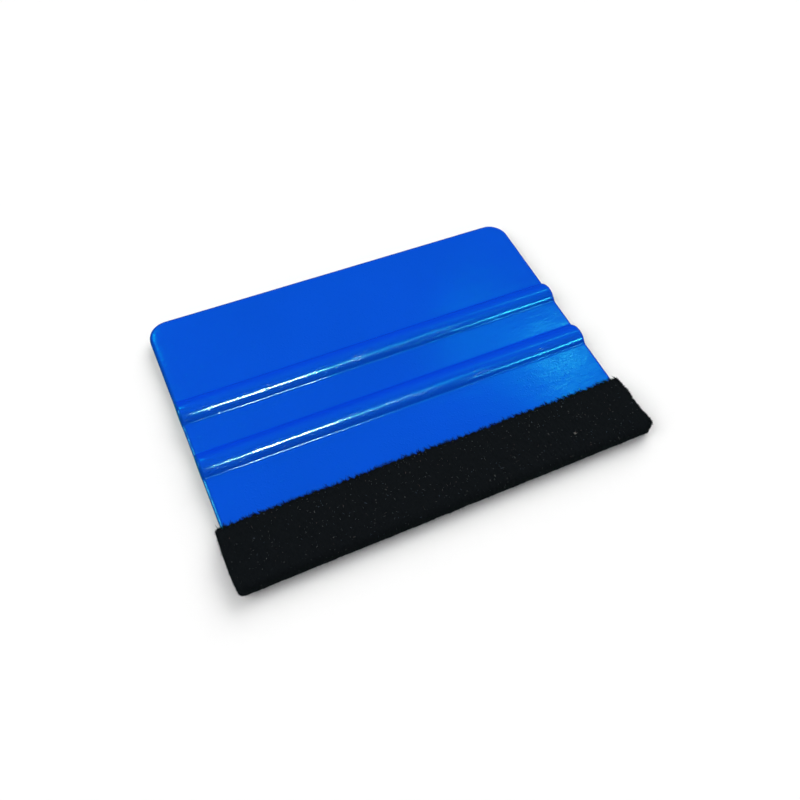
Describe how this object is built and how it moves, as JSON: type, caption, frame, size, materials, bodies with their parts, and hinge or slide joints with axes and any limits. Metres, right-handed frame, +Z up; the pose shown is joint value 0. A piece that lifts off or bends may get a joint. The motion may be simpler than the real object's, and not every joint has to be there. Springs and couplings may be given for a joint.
{
  "type": "squeegee applicator",
  "caption": "Flat plastic hand squeegee card with grip ribs across both faces and a black felt strip folded over its working edge, for smoothing vinyl film.",
  "frame": {"origin": "middle of the tool in plan, at the level of the back ribs' crowns, which it rests on", "axes": "+X along the working edge, +Y from the felted working edge to the bare top edge, +Z up out of the front face"},
  "size_m": [0.1022, 0.0742, 0.0054],
  "materials": {
    "card_plastic": "gloss",
    "tape_adhesive": "satin",
    "black_felt": "matte"
  },
  "bodies": {
    "root": {"card": "card_plastic", "adhesive_tape": "tape_adhesive", "felt_strip": "black_felt"}
  },
  "joints": []
}
